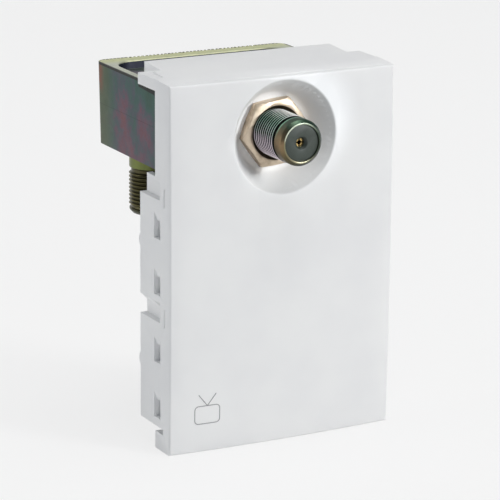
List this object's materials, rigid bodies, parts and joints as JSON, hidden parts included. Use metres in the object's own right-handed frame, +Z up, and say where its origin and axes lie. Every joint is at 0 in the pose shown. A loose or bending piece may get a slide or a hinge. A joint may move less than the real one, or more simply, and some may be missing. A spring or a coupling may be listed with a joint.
{
  "type": "tv antenna socket module",
  "caption": "Snap-in wall-plate module with a dished front coaxial TV socket, a diecast tap housing behind it and threaded coaxial ports underneath.",
  "frame": {"origin": "middle of the seat plane at the back of the cover's rim, halfway across and halfway up the face", "axes": "+X to the right as seen from the room, -Y towards the room, +Z up"},
  "size_m": [0.05, 0.049, 0.0761],
  "materials": {
    "cover_plastic": "satin-gloss moulded white",
    "zinc_casting": "cast zinc with an iridescent green and purple chromate film",
    "lid_tinplate": "tinned sheet",
    "nut_nickel": "dull nickel plate",
    "plug_plastic": "moulded slate grey",
    "contact_bronze": "drawn bronze",
    "board_laminate": "green solder mask",
    "ferrite": "ground ferrite",
    "enamelled_wire": "enamelled copper",
    "capacitor_ceramic": "fired ceramic with tinned ends",
    "resistor_body": "glazed black with tinned ends",
    "solder": "bright solder"
  },
  "bodies": {
    "root": {"front_cover": "cover_plastic", "zinc_housing": "zinc_casting", "housing_lid": "lid_tinplate", "lock_nut": "nut_nickel", "front_insulator": "plug_plastic", "left_insulator": "plug_plastic", "right_insulator": "plug_plastic", "front_contact": "contact_bronze", "left_contact": "contact_bronze", "right_contact": "contact_bronze", "circuit_board": "board_laminate", "tap_core": "ferrite", "tap_primary": "enamelled_wire", "tap_secondary": "enamelled_wire", "match_core": "ferrite", "match_winding": "enamelled_wire", "choke_coil": "enamelled_wire", "coupling_capacitors": "capacitor_ceramic", "load_resistors": "resistor_body", "contact_solder": "solder", "ground_solder": "solder"}
  },
  "joints": []
}
